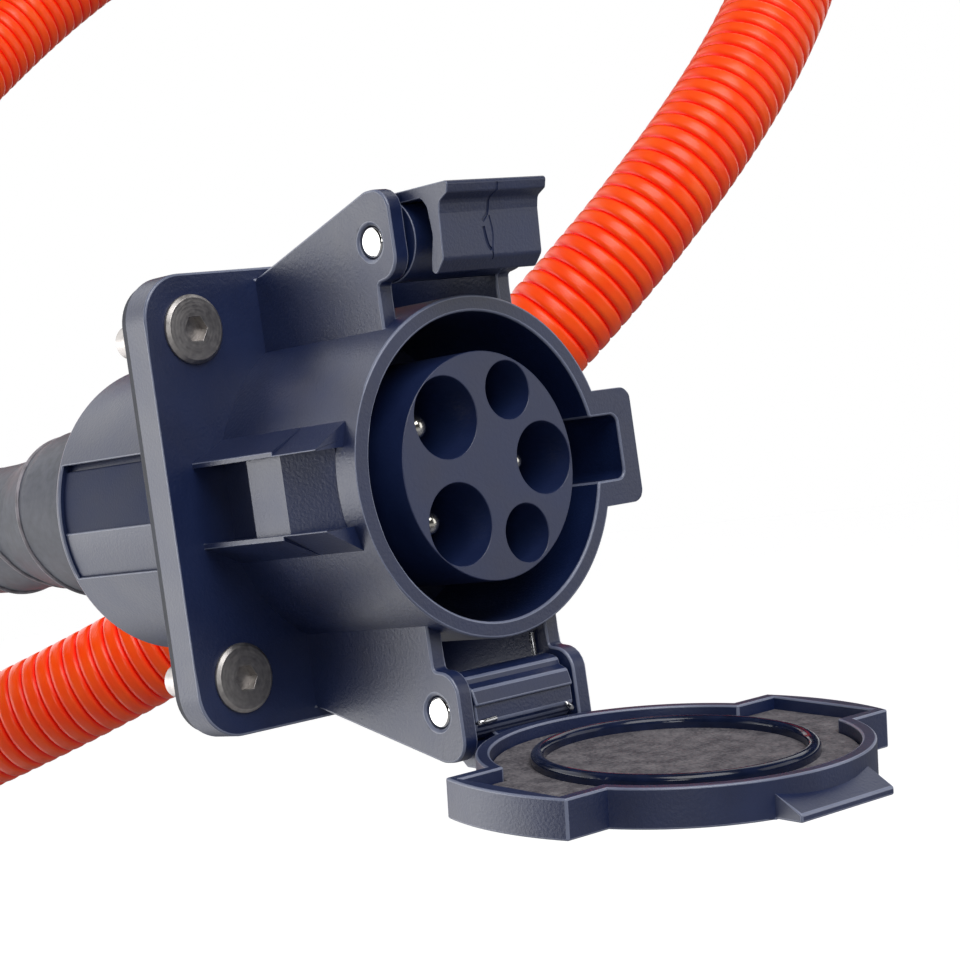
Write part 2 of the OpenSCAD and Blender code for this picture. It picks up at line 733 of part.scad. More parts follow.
housing();
flange_pad();
flange_screws();
contact_core();
contact_carrier();
contact_retainer();
retainer_screws();
line_pin();
neutral_pin();
earth_pin();
pilot_pin();
proximity_pin();
rear_shell();
inner_wires();
cable_boot();
conduit();
end_sleeve();
power_wires();
signal_wires();
wire_ends();
hinge_pin();
latch_pin();
cap_shell();
cap_pad();
hinge_spring();
latch_lever();
latch_spring();
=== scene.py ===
# %% [markdown]
# # A charge port inlet
# A panel socket with a sprung cap, a cap latch and a cable in orange corrugated conduit. The CAD
# solids give every size and every place. This lesson dresses them: moulded edges get their small
# radii, metal gets its sheen, and the conduit gets its corrugations.

# %% Load the frame
import math

import bmesh
import bpy
import numpy as np
from mathutils import Matrix, Vector


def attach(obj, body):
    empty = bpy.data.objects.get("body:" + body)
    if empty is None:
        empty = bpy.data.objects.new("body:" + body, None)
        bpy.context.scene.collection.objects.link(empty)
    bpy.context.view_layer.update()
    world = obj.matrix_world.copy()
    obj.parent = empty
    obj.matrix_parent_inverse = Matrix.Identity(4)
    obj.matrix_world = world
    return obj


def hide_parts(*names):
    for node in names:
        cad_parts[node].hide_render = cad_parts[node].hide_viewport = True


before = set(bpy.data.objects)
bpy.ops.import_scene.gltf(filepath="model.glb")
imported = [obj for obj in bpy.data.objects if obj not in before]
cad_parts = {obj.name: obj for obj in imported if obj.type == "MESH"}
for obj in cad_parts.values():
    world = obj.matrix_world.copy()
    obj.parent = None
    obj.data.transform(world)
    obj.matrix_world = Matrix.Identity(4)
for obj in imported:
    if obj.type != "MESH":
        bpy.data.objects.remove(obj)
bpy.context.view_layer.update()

# %% [markdown]
# All lengths are thought of in millimetres, as on a drawing, while Blender counts in metres. One
# function turns the one into the other. A second keeps only one object selected, because an
# operator acts on everything that is selected.

# %% Helpers for lengths and selection


def mm(*values):
    """Millimetres as metres: one number, or a point."""
    return values[0] / 1000 if len(values) == 1 else Vector(values) / 1000


def only(piece):
    """Selects this object and no other."""
    bpy.ops.object.select_all(action="DESELECT")
    piece.select_set(True)
    bpy.context.view_layer.objects.active = piece


bpy.ops.object.select_all(action="DESELECT")

# %% [markdown]
# The camera stands a third of a metre in front of the mouth and to its left, almost level, with a
# long lens and a slight roll. Its numbers were found by matching points of the drawing to the view.

# %% Camera
CAMERA_TURN, CAMERA_RISE, CAMERA_ROLL = (math.radians(a) for a in (-42.632, 0.884, -8.105))
CAMERA_PLACE = mm(-252.848, -309.704, 3.872)
FOCAL_PIXELS, FRAME_PIXELS, SENSOR = 2602.894, 960, 36.0
CLIP_NEAR, CLIP_FAR = 0.01, 50

back = Vector((math.sin(CAMERA_TURN) * math.cos(CAMERA_RISE),
               -math.cos(CAMERA_TURN) * math.cos(CAMERA_RISE), math.sin(CAMERA_RISE)))
across = Vector((math.cos(CAMERA_TURN), math.sin(CAMERA_TURN), 0))
upright = back.cross(across)
right = across * math.cos(CAMERA_ROLL) + upright * math.sin(CAMERA_ROLL)
top = upright * math.cos(CAMERA_ROLL) - across * math.sin(CAMERA_ROLL)

camera_data = bpy.data.cameras.new("camera")
camera_data.sensor_width = SENSOR
camera_data.lens = SENSOR * FOCAL_PIXELS / FRAME_PIXELS
camera_data.clip_start, camera_data.clip_end = CLIP_NEAR, CLIP_FAR
camera = bpy.data.objects.new("camera", camera_data)
camera.matrix_world = Matrix((right, top, back)).transposed().to_4x4()
camera.location = CAMERA_PLACE
bpy.context.scene.collection.objects.link(camera)
bpy.context.scene.camera = camera
print("lens", round(camera_data.lens, 2))

# %% [markdown]
# A material is a small graph of nodes. One function adds a node, sets it and links it, so a graph
# reads like a list. Colours are written as they are seen, in hex, and made linear by one function.
# The patterns use Object coordinates, where one unit is a metre: a noise with a scale of
# 1000 / d has features about d millimetres wide.

# %% Helpers for materials


def linear(code):
    """An sRGB hex colour as linear RGBA."""
    parts = [int(code[i:i + 2], 16) / 255 for i in (1, 3, 5)]
    return [c / 12.92 if c <= 0.04045 else ((c + 0.055) / 1.055) ** 2.4 for c in parts] + [1.0]


def add(tree, kind, inputs=None, stops=(), **settings):
    """Adds a node: settings are its properties, inputs its sockets, each a value or an output.

    stops are the two ends of a colour ramp, each a place and a hex colour."""
    made = tree.nodes.new(kind)
    for key, value in settings.items():
        setattr(made, key, value)
    for key, value in (inputs or {}).items():
        if isinstance(value, bpy.types.NodeSocket):
            tree.links.new(value, made.inputs[key])
        else:
            made.inputs[key].default_value = value
    for k, (place, code) in enumerate(stops):
        made.color_ramp.elements[k].position = place
        made.color_ramp.elements[k].color = linear(code)
    return made


def finish(name, **sockets):
    """A new material with one shader whose sockets are set; returns material, tree and shader."""
    material = bpy.data.materials.new(name)
    material.use_nodes = True
    tree = material.node_tree
    shader = tree.nodes["Principled BSDF"]
    for key, value in sockets.items():
        shader.inputs[key.replace("_", " ")].default_value = value
    return material, tree, shader


print("middle grey is", round(linear("#808080")[0], 3))

# %% [markdown]
# The housing, cap, latch and rear shell are glass-filled nylon, moulded in a spark-eroded tool.
# That gives the eye a dark blue-black, a fine grain that breaks up every highlight, and cloudy
# patches where the glass comes near the skin. The grain of a real tool is about 0.1 mm; it is
# drawn at 0.45 mm so that it shows at this distance. The core is smoother, and the recess in the rear
# shell is rubbed dull. The rounded outer edges are given a pale nylon, a painted highlight that
# draws pale lines along them.

# %% Moulded nylon
NYLON_CLOUD = 9  # width of a cloudy patch, in millimetres
UNEVEN = 0.07  # how far the roughness strays to either side


def moulded(name, dark, light, rough, grain, depth, specular):
    """Moulded plastic: two close tones in clouds, a grain in the bump, and an uneven gloss."""
    material, tree, shader = finish(name, IOR=1.53, Specular_IOR_Level=specular)
    where = add(tree, "ShaderNodeTexCoord").outputs["Object"]
    clouds = add(tree, "ShaderNodeTexNoise", {"Vector": where, "Scale": 1000 / NYLON_CLOUD, "Detail": 5.0})
    fine = add(tree, "ShaderNodeTexNoise", {"Vector": where, "Scale": 1000 / grain, "Detail": 2.0})
    tone = add(tree, "ShaderNodeValToRGB", {"Fac": clouds.outputs["Fac"]},
               stops=((0.3, dark), (0.7, light)))
    gloss = add(tree, "ShaderNodeMapRange", {"Value": clouds.outputs["Fac"],
                                             "To Min": rough - UNEVEN, "To Max": rough + UNEVEN})
    bump = add(tree, "ShaderNodeBump", {"Height": fine.outputs["Fac"], "Strength": depth,
                                        "Distance": mm(0.1)})
    tree.links.new(tone.outputs["Color"], shader.inputs["Base Color"])
    tree.links.new(gloss.outputs["Result"], shader.inputs["Roughness"])
    tree.links.new(bump.outputs["Normal"], shader.inputs["Normal"])
    return material


nylon = moulded("nylon_black_moulded", "#07163b", "#0c1e47", 0.42, 0.45, 0.5, 0.75)
core_nylon = moulded("nylon_black_smooth", "#08173e", "#0d204a", 0.46, 0.6, 0.25, 0.75)
rubbed_nylon = moulded("nylon_black_rubbed", "#0a183a", "#0f2046", 0.66, 0.35, 0.6, 0.35)
# Pale nylon for the rounded edges: a painted highlight.
edge_highlight_nylon = moulded("nylon_painted_edge_highlight", "#5a6178", "#70768c", 0.36, 0.45, 0.3, 0.75)
print("plastics", nylon.name, core_nylon.name, rubbed_nylon.name, edge_highlight_nylon.name)

# %% [markdown]
# Rubber is duller than nylon. The flange's sealing pad and the cable boot are smooth EPDM, and
# the pad in the cap is a cut sheet of textured foam rubber, brownish grey, with a coarse pebble.
# The pad's sealing rib is glossy, and the edges of the boot's winding are painted pale, a painted
# highlight.

# %% Rubbers
BLOTCH = 6  # the blotches are this many times as wide as the pebbles


def rubber(name, dark, light, rough, pebble, depth):
    """Rubber: a pebbled bump, and the tone following it, lighter on the crests."""
    material, tree, shader = finish(name, IOR=1.52, Specular_IOR_Level=0.35, Roughness=rough)
    where = add(tree, "ShaderNodeTexCoord").outputs["Object"]
    pebbles = add(tree, "ShaderNodeTexNoise", {"Vector": where, "Scale": 1000 / pebble, "Detail": 3.0})
    blotches = add(tree, "ShaderNodeTexNoise", {"Vector": where, "Scale": 1000 / (pebble * BLOTCH),
                                                "Detail": 4.0})
    total = add(tree, "ShaderNodeMath", {0: pebbles.outputs["Fac"], 1: blotches.outputs["Fac"]},
                operation="ADD")
    half = add(tree, "ShaderNodeMath", {0: total.outputs["Value"], 1: 0.5}, operation="MULTIPLY")
    tone = add(tree, "ShaderNodeValToRGB", {"Fac": half.outputs["Value"]},
               stops=((0.38, dark), (0.64, light)))
    bump = add(tree, "ShaderNodeBump", {"Height": pebbles.outputs["Fac"], "Strength": depth,
                                        "Distance": mm(0.2)})
    tree.links.new(tone.outputs["Color"], shader.inputs["Base Color"])
    tree.links.new(bump.outputs["Normal"], shader.inputs["Normal"])
    return material


seal_rubber = rubber("rubber_black_seal", "#0c1222", "#1c2336", 0.55, 1.2, 0.3)
boot_rubber = rubber("rubber_black_boot", "#2c303c", "#474a57", 0.5, 1.6, 0.25)
pad_rubber = rubber("rubber_foam_sheet", "#403d44", "#706c70", 0.85, 0.5, 0.9)
rib_rubber = rubber("rubber_rib_gloss", "#0d1429", "#18203a", 0.14, 2.0, 0.05)
# Pale rubber for the crests of the boot's winding: a painted highlight.
edge_highlight_rubber = rubber("rubber_painted_highlight", "#6f6b70", "#98939a", 0.4, 1.6, 0.2)
print("rubbers", seal_rubber.name, boot_rubber.name, pad_rubber.name, rib_rubber.name, edge_highlight_rubber.name)

# %% [markdown]
# Metals: the fixing screws are turned stainless steel with a satin face, the hinge pins are
# polished, the contacts are silver plated and the springs are drawn wire. A metal keeps the
# default IOR and takes its tint from the base colour.

# %% Metals
GLOSS_LOW, GLOSS_HIGH = 0.7, 1.3  # shares of the roughness that the marks range between


def metal(name, dark, light, rough, streak):
    """Bare metal: fine uneven gloss from the way it was worked, and a little tone with it."""
    material, tree, shader = finish(name, Metallic=1.0)
    where = add(tree, "ShaderNodeTexCoord").outputs["Object"]
    marks = add(tree, "ShaderNodeTexNoise", {"Vector": where, "Scale": 1000 / streak, "Detail": 4.0})
    tone = add(tree, "ShaderNodeValToRGB", {"Fac": marks.outputs["Fac"]},
               stops=((0.3, dark), (0.7, light)))
    gloss = add(tree, "ShaderNodeMapRange", {"Value": marks.outputs["Fac"],
                                             "To Min": rough * GLOSS_LOW, "To Max": rough * GLOSS_HIGH})
    tree.links.new(tone.outputs["Color"], shader.inputs["Base Color"])
    tree.links.new(gloss.outputs["Result"], shader.inputs["Roughness"])
    return material


screw_steel = metal("steel_stainless_satin", "#a09c9a", "#bab6b3", 0.44, 0.8)
pin_steel = metal("steel_polished", "#d6d6d4", "#f0efec", 0.12, 1.5)
contact_silver = metal("silver_plate", "#d8d4c8", "#efece4", 0.2, 1.2)
spring_steel = metal("steel_drawn_wire", "#b4b5b8", "#d3d4d6", 0.25, 0.5)
copper = metal("copper_bare", "#a8643c", "#d08a5a", 0.35, 0.4)
print("metals", screw_steel.name, pin_steel.name, contact_silver.name, spring_steel.name, copper.name)

# %% [markdown]
# The turning tool leaves fine rings round each screw's axis. The four screws mirror each other, so
# the distance from an axis is taken from the absolute coordinates, and a sine of it is the height
# of the rings. Real rings are about 0.1 mm apart; 0.55 mm is as fine as the render can show.

# %% Rings turned on the screws
SCREW_AT = mm(25.5)  # where each screw's axis stands, along x and along z
RING = mm(0.55)
turned = screw_steel.node_tree
turned_where = add(turned, "ShaderNodeTexCoord").outputs["Object"]
quarter = add(turned, "ShaderNodeVectorMath", {0: turned_where}, operation="ABSOLUTE")
offset = add(turned, "ShaderNodeVectorMath", {0: quarter.outputs["Vector"], 1: (SCREW_AT, 0, SCREW_AT)},
             operation="SUBTRACT")
flat = add(turned, "ShaderNodeVectorMath", {0: offset.outputs["Vector"], 1: (1, 0, 1)},
           operation="MULTIPLY")
from_axis = add(turned, "ShaderNodeVectorMath", {0: flat.outputs["Vector"]}, operation="LENGTH")
phase = add(turned, "ShaderNodeMath", {0: from_axis.outputs["Value"], 1: 2 * math.pi / RING},
            operation="MULTIPLY")
wave = add(turned, "ShaderNodeMath", {0: phase.outputs["Value"]}, operation="SINE")
ring_bump = add(turned, "ShaderNodeBump", {"Height": wave.outputs["Value"], "Strength": 0.12,
                                           "Distance": mm(0.05)})
turned.links.new(ring_bump.outputs["Normal"], turned.nodes["Principled BSDF"].inputs["Normal"])
print("rings on", screw_steel.name)

# %% [markdown]
# The conduit is orange polypropylene, corrugated so that it bends. Its ridges are broad and
# almost flat, its grooves narrow and deep. In the grooves light bounces from orange to orange and
# turns red. The mesh carries an attribute, 0 in a groove and 1 on a ridge, and by it the grooves
# are painted a deeper red: painted shade of that bounced light.

# %% Conduit finish
SCUFF = 7  # width of a scuffed patch, in millimetres
MIX_A, MIX_B, MIX_RESULT = 6, 7, 2  # a mix's colour sockets, whose names its other kinds share
orange, orange_tree, orange_shader = finish("polypropylene_orange", IOR=1.49, Roughness=0.3,
                                            Specular_IOR_Level=0.35)
ridge = add(orange_tree, "ShaderNodeAttribute", attribute_name="ridge").outputs["Fac"]
orange_where = add(orange_tree, "ShaderNodeTexCoord").outputs["Object"]
scuffs = add(orange_tree, "ShaderNodeTexNoise", {"Vector": orange_where, "Scale": 1000 / SCUFF,
                                                 "Detail": 4.0})
ridge_tone = add(orange_tree, "ShaderNodeValToRGB", {"Fac": scuffs.outputs["Fac"]},
                 stops=((0.3, "#ff4204"), (0.7, "#ff5610")))
# Painted shade: the grooves are a deeper red than the ridges.
groove_shade_mix = add(orange_tree, "ShaderNodeMix", {"Factor": ridge, MIX_A: linear("#ff0a00"),
                                               MIX_B: ridge_tone.outputs["Color"]}, data_type="RGBA")
orange_tree.links.new(groove_shade_mix.outputs[MIX_RESULT], orange_shader.inputs["Base Color"])
print("conduit finish", orange.name)

# %% [markdown]
# Wire insulation is soft PVC, smooth and a little waxy.

# %% Wire finishes
WIRE_CLOUD = 5  # width of a cloudy patch, in millimetres


def insulation(name, dark, light):
    """PVC insulation: nearly even colour with faint clouds."""
    material, tree, shader = finish(name, IOR=1.5, Roughness=0.4)
    where = add(tree, "ShaderNodeTexCoord").outputs["Object"]
    clouds = add(tree, "ShaderNodeTexNoise", {"Vector": where, "Scale": 1000 / WIRE_CLOUD, "Detail": 2.0})
    tone = add(tree, "ShaderNodeValToRGB", {"Fac": clouds.outputs["Fac"]},
               stops=((0.3, dark), (0.7, light)))
    tree.links.new(tone.outputs["Color"], shader.inputs["Base Color"])
    return material


wire_orange = insulation("pvc_orange", "#e2530f", "#f0661f")
wire_blue = insulation("pvc_blue", "#2b5fa8", "#3a70ba")
print("wires", wire_orange.name, wire_blue.name)

# %% [markdown]
# Every piece ends the same way: it gets its finish, rides on its body, and hides the CAD node that
# it stands for. A node whose own mesh is good enough is only given its finish.

# %% Helpers for pieces
MERGE = mm(0.003)  # corners nearer than this are one
SAME_PLANE, PAIR_PLANE = math.radians(0.5), math.radians(1)  # turns that still count as flat


def settle(piece, body, slot, *materials, nodes=()):
    """Gives a piece its materials and body, hides the CAD nodes that it stands for, and prints its number
    of faces. The slot is not used.
    """
    which = [min(face.material_index, len(materials) - 1) for face in piece.data.polygons]
    piece.data.materials.clear()
    for material in materials:
        piece.data.materials.append(material)
    piece.data.polygons.foreach_set("material_index", which)
    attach(piece, body)
    if nodes:
        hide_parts(*nodes)
    print(piece.name, len(piece.data.polygons), "faces")


def dress(node, material):
    """Gives a CAD node its finish."""
    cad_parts[node].data.materials.clear()
    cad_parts[node].data.materials.append(material)
    print(node, "in", material.name)


def cad_copy(node, name, whole=True):
    """A copy of a node's mesh as a new piece: merged, its flat faces made whole or joined in pairs."""
    piece = bpy.data.objects.new(name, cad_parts[node].data.copy())
    bpy.context.scene.collection.objects.link(piece)
    only(piece)
    if piece.data.has_custom_normals:
        bpy.ops.mesh.customdata_custom_splitnormals_clear()
    bpy.ops.object.mode_set(mode="EDIT")
    bpy.ops.mesh.select_all(action="SELECT")
    bpy.ops.mesh.remove_doubles(threshold=MERGE)
    if whole:
        bpy.ops.mesh.dissolve_limited(angle_limit=SAME_PLANE)
    else:
        bpy.ops.mesh.tris_convert_to_quads(face_threshold=PAIR_PLANE, shape_threshold=math.pi)
    bpy.ops.object.mode_set(mode="OBJECT")
    return piece


def pick(piece, kind, wanted):
    """Opens a piece in edit mode with the edges or faces selected for which wanted is true."""
    only(piece)
    bpy.ops.object.mode_set(mode="EDIT")
    bpy.ops.mesh.select_mode(type=kind)
    bpy.ops.mesh.select_all(action="DESELECT")
    bpy.ops.object.mode_set(mode="OBJECT")
    for item in piece.data.edges if kind == "EDGE" else piece.data.polygons:
        item.select = wanted(item)
    bpy.ops.object.mode_set(mode="EDIT")


print("helpers for pieces ready")

# %% [markdown]
# A mould leaves no knife edge. The Bevel modifier rounds the outer edges, each by its own weight,
# and gives the new faces the second material; on the nylon pieces that is a pale one, a painted
# highlight along the edges. Weighted normals then keep the large faces flat, so that only the radii
# catch the light.

# %% Helpers for radii and shading
CREASE = 40  # degrees; an edge that is sharper than this stays sharp
TUBE_CREASE = 80  # degrees; the same for tubes, where only the rims of the ends are so sharp
FACET = 33  # degrees; the facets of a round turn by less than this
RADIUS_STEPS = 3
SLIVER = mm(0.02)  # a face that is narrower than this lends no edge to a radius


def smooth(piece, angle):
    """Smooth shading, broken at edges sharper than angle."""
    only(piece)
    bpy.ops.object.shade_smooth_by_angle(angle=math.radians(angle))


def even(piece, flat_face=None):
    """Smooth shading in which the large faces keep their own direction and the radii follow.

    Faces for which flat_face(face) is true aren't smoothed at all."""
    smooth(piece, CREASE)
    for face in piece.data.polygons:
        face.use_smooth = not (flat_face and flat_face(face))
    weighted = piece.modifiers.new("weighted", "WEIGHTED_NORMAL")
    weighted.keep_sharp, weighted.use_face_influence = True, True
    bpy.ops.object.modifier_apply(modifier="weighted")


def soften(piece, width, angle=12, share=None, last=True):
    """Rounds the outer edges that turn by more than angle, as a mould does, and smooths the rest.

    share(middle) gives an edge less of the width, from 0 to 1, where the walls are thin. A piece
    that is still to be cut or bent isn't at its last step, and is made even later."""
    only(piece)
    shape = bmesh.new()
    shape.from_mesh(piece.data)
    turn, middle = [], []
    for edge in shape.edges:
        smallest = min((face.calc_area() for face in edge.link_faces), default=0)
        sliver = smallest < SLIVER * edge.calc_length()
        turn.append(edge.calc_face_angle(0) if edge.is_convex and not sliver else 0)
        middle.append((edge.verts[0].co + edge.verts[1].co) / 2)
    shape.free()
    weights = [(share(at) if share else 1.0) * (t > math.radians(angle)) for t, at in zip(turn, middle)]
    held = piece.data.attributes.get("bevel_weight_edge")
    held = held or piece.data.attributes.new("bevel_weight_edge", "FLOAT", "EDGE")
    held.data.foreach_set("value", weights)
    while len(piece.data.materials) < 2:
        piece.data.materials.append(None)
    edges = piece.modifiers.new("edges", "BEVEL")
    edges.width, edges.segments, edges.limit_method = mm(width), RADIUS_STEPS, "WEIGHT"
    # The new faces take the second material, which on the nylon pieces is a painted highlight.
    edges.use_clamp_overlap, edges.face_strength_mode, edges.material = False, "FSTR_ALL", 1
    bpy.ops.object.modifier_apply(modifier="edges")
    if last:
        even(piece)


print("edges above", CREASE, "degrees stay sharp")

# %% [markdown]
# Conduit, wires and the cutter for a fine groove are tubes along a line. A curve object with a
# round bevel could give a plain wire, but not a corrugated wall that carries an attribute, so one
# function lays the rings of them all. The line is a curve through marked points.

# %% Helpers for lines and tubes


def tube(name, points, radius, sides):
    """A closed tube along points, its rings kept from twisting; radius is one number, or one a point."""
    points = np.asarray(points, float)
    radius = np.broadcast_to(radius, len(points))
    ways = np.gradient(points, axis=0)
    ways /= np.linalg.norm(ways, axis=1)[:, None]
    side = np.cross(ways[0], (0, 0, 1) if abs(ways[0][2]) < 0.9 else (1, 0, 0))
    turn = np.arange(sides) * 2 * math.pi / sides
    rings = []
    for point, way, r in zip(points, ways, radius):
        side = side - way * (side @ way)
        side /= np.linalg.norm(side)
        circle = np.cos(turn)[:, None] * side + np.sin(turn)[:, None] * np.cross(way, side)
        rings.append(point + r * circle)
    corner = np.arange(sides)
    faces = []
    for k in range(len(points) - 1):
        a, b = k * sides + corner, k * sides + (corner + 1) % sides
        faces += np.stack([a, b, b + sides, a + sides], 1).tolist()
    faces += [corner[::-1].tolist(), (corner + (len(points) - 1) * sides).tolist()]
    mesh = bpy.data.meshes.new(name)
    mesh.from_pydata(np.concatenate(rings).tolist(), [], faces)
    piece = bpy.data.objects.new(name, mesh)
    bpy.context.scene.collection.objects.link(piece)
    return piece


def through(points, knots, count):
    """A curve through the points, each passed at its knot, with count steps to a span."""
    pads = np.vstack([2 * points[0] - points[1], points, 2 * points[-1] - points[-2]])
    t = np.concatenate([[knots[0] - (knots[1] - knots[0])], knots, [knots[-1] + (knots[-1] - knots[-2])]])

    def blend(first, last, s, start, stop):
        """Goes from first to last while s goes from one knot to another."""
        return ((t[stop] - s) * first + (s - t[start]) * last) / (t[stop] - t[start])

    out = []
    for k in range(1, len(points)):
        for s in np.linspace(t[k], t[k + 1], count, endpoint=False):
            a = [blend(pads[k - 1 + i], pads[k + i], s, k - 1 + i, k + i) for i in range(3)]
            b = [blend(a[i], a[i + 1], s, k - 1 + i, k + 1 + i) for i in range(2)]
            out.append(blend(b[0], b[1], s, k, k + 1))
    return np.vstack(out + [points[-1]])


def through_marks(marks, count):
    """A curve through marks in millimetres, with count steps between two marks."""
    return through(np.array([mm(*p) for p in marks]), np.arange(len(marks), dtype=float), count)


def lengths(points):
    """How far along a line each of its points is."""
    return np.concatenate([[0], np.cumsum(np.linalg.norm(np.diff(points, axis=0), axis=1))])


print("helpers for lines ready")

# %% [markdown]
# ## The conduit
# Its route repeats the points of the drawing. A smooth line through them is laid first, and the
# corrugated wall follows it: each pitch of 3.3 mm has one broad ridge and one narrow groove. The
# conduit is stiff, so its loop stands by itself behind the inlet. The far end lies outside the view.

# %% Route of the conduit
ROUTE = np.array([mm(*p) for p in (
    (0, 80, 0), (0, 100, 0), (1, 126, 1), (9, 169, 11), (26, 206, 32), (49, 234, 59), (79, 253, 88),
    (114, 259, 115), (150, 255, 141), (188, 236, 162), (218, 204, 174), (236, 162, 176), (239, 118, 164),
    (227, 80, 143), (204, 53, 115), (173, 43, 82), (140, 46, 51), (109, 61, 21), (81, 85, -5),
    (55, 117, -26), (31, 153, -41), (12, 193, -53), (-4, 235, -60))], float)
STEP, SPAN_STEPS, EASING = mm(0.8), 30, 415


def smooth_line(points, step, easing):
    """A line through the points at even steps, eased so that no bend starts suddenly."""
    for _ in range(2):
        far = lengths(points)
        stations = np.linspace(0, far[-1], round(far[-1] / step) + 1)
        points = np.stack([np.interp(stations, far, points[:, k]) for k in range(3)], 1)
        for _ in range(easing):
            points[1:-1] += 0.25 * (points[:-2] + points[2:] - 2 * points[1:-1])
    return points


# Knots at the root of the distance keep the curve from overshooting its points
route_knots = np.concatenate([[0], np.cumsum(np.linalg.norm(np.diff(ROUTE, axis=0), axis=1) ** 0.5)])
line = smooth_line(through(ROUTE, route_knots, SPAN_STEPS), STEP, EASING)
along = lengths(line)
print("conduit length", round(float(along[-1]), 4), "to", np.round(line[-1], 4))

# %% Conduit wall
CONDUIT_R, PITCH, SIDES = mm(10.6), mm(3.3), 36
# One pitch: place along it, and depth below the ridge in millimetres
PROFILE = ((0.0, 0.65), (0.07, 0.4), (0.15, 0.08), (0.32, 0.0), (0.68, 0.0), (0.85, 0.08), (0.93, 0.4))
# Below this depth the wall takes the full painted groove shade.
GROOVE = 0.6  # the depth at which the colour is all a groove's, in millimetres
pitches = int(along[-1] / PITCH)
places = np.array([(k + place) * PITCH for k in range(pitches) for place, _ in PROFILE])
depth = np.tile([dip for _, dip in PROFILE], pitches)
wall_line = np.stack([np.interp(places, along, line[:, k]) for k in range(3)], 1)
conduit = tube("conduit_corrugated", wall_line, CONDUIT_R - depth / 1000, SIDES)
shades = conduit.data.attributes.new("ridge", "FLOAT", "POINT")
shades.data.foreach_set("value", np.repeat(1 - np.clip(depth / GROOVE, 0, 1), SIDES).astype(np.float32))
smooth(conduit, TUBE_CREASE)
settle(conduit, "inlet", "orange_conduit", orange, nodes=["conduit"])

# %% [markdown]
# Cables end in something. Here a shrink sleeve closes the conduit, and five tails come out of it,
# stripped at their ends: three for power in orange and two for signals in blue. Their solids are
# plain and round already, so they are shown as they are.

# %% Far end of the conduit
for node, look in (("end_sleeve", boot_rubber), ("power_wires", wire_orange), ("signal_wires", wire_blue),
                   ("wire_ends", copper), ("inner_wires", wire_orange)):
    dress(node, look)

# %% [markdown]
# ## The housing
# One moulding holds the flange, the barrel, the ears and the plug catch. A copy of the solid gets
# radii on the outer edges that show, and these take the pale nylon, a painted highlight. Along the
# right side with the key tab and on the thin lips of the catch they are slimmer, and hidden seats
# and holes have none.

# %% Housing
PIN_Y, PIN_Z = mm(-33.3), mm(33.4)  # axes of the two hinge pins, the upper at z and the lower at -z
CATCH_X, CATCH_Z = mm(-21), mm(13)  # the plug catch lies to the left of this and within this height
SLIM = 0.3  # share of the radius on thin walls
housing = cad_copy("housing", "housing_moulding", whole=False)


def off_catch(at):
    """True away from the plug catch."""
    return at.x > CATCH_X or abs(at.z) > CATCH_Z


def housing_share(at):
    """How much of a radius an edge of the housing has, by where its middle is."""
    seat = at.y > mm(-2.5) or (at.y > mm(-12) and math.hypot(at.x, at.z) < mm(22.5))
    screw_hole = math.hypot(abs(at.x) - SCREW_AT, abs(at.z) - SCREW_AT) < mm(5.8)
    pin_hole = math.hypot(at.y - PIN_Y, abs(at.z) - PIN_Z) < mm(3) and abs(at.x) < mm(11)
    key_side = at.x > mm(28.3) or (at.x > mm(23.5) and abs(at.z) > mm(8))
    if seat or screw_hole or pin_hole:
        return 0.0
    if key_side:
        return SLIM
    if off_catch(at):
        return 1.0
    where_rails_meet_rim = mm(-36.6) < at.y < mm(-30)
    return 0.0 if where_rails_meet_rim else SLIM


def catch_face(face):
    """True on the flat faces of the plug catch: its bar and ramp, and the sides of its rails."""
    at = face.center
    if off_catch(at):
        return False
    if abs(at.z) < mm(5.3):
        return mm(-34) < at.y < mm(-14)
    outward = Vector((at.x, 0, at.z)).normalized()
    return abs(face.normal.dot(outward)) < 0.85


soften(housing, 0.35, angle=FACET, share=housing_share, last=False)
even(housing, flat_face=catch_face)
settle(housing, "inlet", "black_plastic", nylon, edge_highlight_nylon, nodes=["housing"])

# %% [markdown]
# The core is a separate moulding with five wells. Its front is one flat face with five holes, which
# shades badly as a single polygon, so it is cut into even triangles and shaded flat, and only the
# rims of the wells get a radius. The sealing pad is a plate of rubber, rounded along its outline.

# %% Core and sealing pad
FRONT = -0.999  # a face that looks out of the mouth has a y of its normal below this
core = cad_copy("contact_core", "contact_core_moulding")
pick(core, "FACE", lambda face: face.normal.y < FRONT)
bpy.ops.mesh.quads_convert_to_tris()
bpy.ops.mesh.beautify_fill(angle_limit=PAIR_PLANE)
bpy.ops.object.mode_set(mode="OBJECT")
soften(core, 0.15, angle=FACET, share=lambda at: float(at.y < mm(-12)), last=False)
smooth(core, CREASE)
for face in core.data.polygons:
    face.use_smooth = face.normal.y > FRONT
settle(core, "inlet", "core_plastic", core_nylon, nodes=["contact_core"])

seal = cad_copy("flange_pad", "flange_seal")
soften(seal, 0.25, share=lambda at: float(max(abs(at.x), abs(at.z)) > mm(30)))
settle(seal, "inlet", "black_rubber", seal_rubber, nodes=["flange_pad"])

# %% [markdown]
# The fixing screws have a flat turned head with a wide chamfer, which shows as a bright crescent.
# The chamfer is cut first, on the rim of each head, and the small edges are broken afterwards.

# %% Fixing screws
HEAD_R, HEAD_Y = mm(5.1), mm(-7.4)
screws = cad_copy("flange_screws", "fixing_screws")


def from_screw(point):
    """Distance from the axis of the nearest screw."""
    return math.hypot(abs(point[0]) - SCREW_AT, abs(point[2]) - SCREW_AT)


def rim_edge(edge):
    """True on the front rim of a screw's head."""
    ends = [screws.data.vertices[k].co for k in edge.vertices]
    return all(abs(p[1] - HEAD_Y) < mm(0.02) and abs(from_screw(p) - HEAD_R) < mm(0.05) for p in ends)


